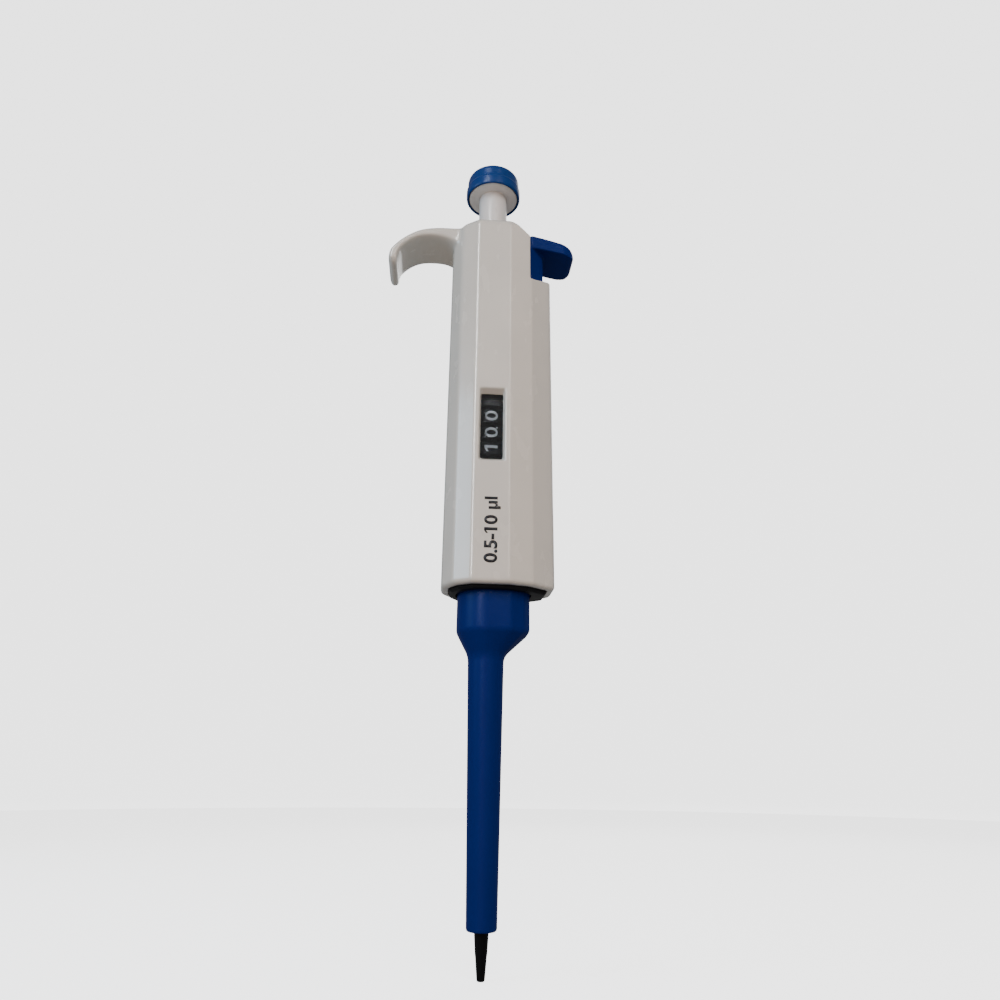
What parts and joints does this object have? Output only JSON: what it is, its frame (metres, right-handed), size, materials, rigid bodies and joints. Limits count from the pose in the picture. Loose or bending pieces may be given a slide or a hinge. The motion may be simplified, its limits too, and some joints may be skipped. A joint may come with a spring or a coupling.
{
  "type": "adjustable single-channel micropipette",
  "caption": "Hand-held micropipette: press button that also sets the volume, digit counter, finger hook, tip ejector with sleeve, and tapered nose.",
  "frame": {"origin": "centre of the end of the nose, where the liquid would enter, on the plunger axis", "axes": "+Z along the plunger axis from the nose to the press button, -Y the front with the counter window, -X the side of the finger hook, +X the side of the tip ejector"},
  "size_m": [0.0583, 0.0244, 0.2316],
  "materials": {
    "handle_plastic": "satin",
    "blue_plastic": "satin",
    "navy_plastic": "satin",
    "black_plastic": "satin",
    "white_plastic": "satin",
    "grey_plastic": "matte",
    "window_plastic": "clear",
    "steel": "ground",
    "brass": "turned",
    "rubber": "matte",
    "digit_white": "printed",
    "range_print": "printed"
  },
  "bodies": {
    "handle": {"handle_body": "handle_plastic", "top_bush": "grey_plastic", "window_lens": "window_plastic", "bottom_cover": "grey_plastic", "counter_frame": "grey_plastic", "pinion_shaft": "steel", "spring_housing": "grey_plastic", "calibration_nut": "brass", "coupling_nut": "steel", "stop_guide": "steel", "ejector_guide": "grey_plastic", "tip_cone": "black_plastic", "piston_seal": "white_plastic", "seal_oring": "rubber", "seal_retainer": "steel", "piston_spring": "steel", "blowout_spring": "steel", "ejector_spring": "steel"},
    "volume_screw": {"volume_driver": "white_plastic", "tenths_drum": "black_plastic"},
    "units_counter": {"units_drum": "black_plastic"},
    "tens_counter": {"tens_drum": "black_plastic"},
    "units_pinion": {"carry_pinion_units": "white_plastic"},
    "tens_pinion": {"carry_pinion_tens": "white_plastic"},
    "volume_stop": {"stop_nut": "brass"},
    "plunger": {"plunger_stem": "white_plastic", "drive_hub": "grey_plastic", "push_rod": "steel", "plunger_cap": "blue_plastic", "cap_insert": "white_plastic"},
    "piston": {"piston_head": "grey_plastic", "piston_rod": "steel"},
    "blowout": {"blowout_plate": "steel"},
    "ejector": {"ejector_button": "navy_plastic", "ejector_bar": "steel", "ejector_sleeve": "navy_plastic"}
  },
  "joints": [
    {"name": "volume_set", "type": "hinge", "parent": "handle", "child": "volume_screw", "pos_m": [0, 0, 0.15], "axis": [0, 0, 1], "range_deg": [-3420, 0]},
    {"name": "plunger_press", "type": "slide", "parent": "volume_screw", "child": "plunger", "axis": [0, 0, -1], "range_m": [0, 0.014], "stiffness_N_per_m": 200, "springref_m": -0.008, "deforming": ["piston_spring", "blowout_spring"]},
    {"name": "ejector_press", "type": "slide", "parent": "handle", "child": "ejector", "axis": [0, 0, -1], "range_m": [0, 0.008], "stiffness_N_per_m": 300, "springref_m": -0.01, "deforming": ["ejector_spring"]},
    {"name": "units_turn", "type": "hinge", "parent": "handle", "child": "units_counter", "pos_m": [0, 0, 0.135], "axis": [0, 0, 1], "range_deg": [-342.5, 0.5]},
    {"name": "tens_turn", "type": "hinge", "parent": "handle", "child": "tens_counter", "pos_m": [0, 0, 0.13], "axis": [0, 0, 1], "range_deg": [-35, 0.5]},
    {"name": "units_pinion_turn", "type": "hinge", "parent": "handle", "child": "units_pinion", "pos_m": [0.0077, 0.0056, 0.137], "axis": [0, 0, 1], "range_deg": [-1, 856]},
    {"name": "tens_pinion_turn", "type": "hinge", "parent": "handle", "child": "tens_pinion", "pos_m": [0.0077, 0.0056, 0.132], "axis": [0, 0, 1], "range_deg": [-1, 86.5]},
    {"name": "stop_nut_slide", "type": "slide", "parent": "handle", "child": "volume_stop", "axis": [0, 0, 1], "range_m": [0, 0.0105]},
    {"name": "piston_slide", "type": "slide", "parent": "handle", "child": "piston", "axis": [0, 0, -1], "range_m": [0, 0.01405]},
    {"name": "blowout_slide", "type": "slide", "parent": "handle", "child": "blowout", "axis": [0, 0, -1], "range_m": [0, 0.00305]}
  ],
  "couplings": [
    {"joint": "units_turn", "follows": "volume_set", "ratio": 0.1},
    {"joint": "tens_turn", "follows": "volume_set", "ratio": 0.01},
    {"joint": "units_pinion_turn", "follows": "volume_set", "ratio": -0.25},
    {"joint": "tens_pinion_turn", "follows": "volume_set", "ratio": -0.025},
    {"joint": "stop_nut_slide", "follows": "volume_set", "m_per_rad": -0.00017507},
    {"joint": "piston_slide", "follows": "plunger_press", "ratio": 1},
    {"joint": "blowout_slide", "follows": "plunger_press", "ratio": 0.21429}
  ]
}
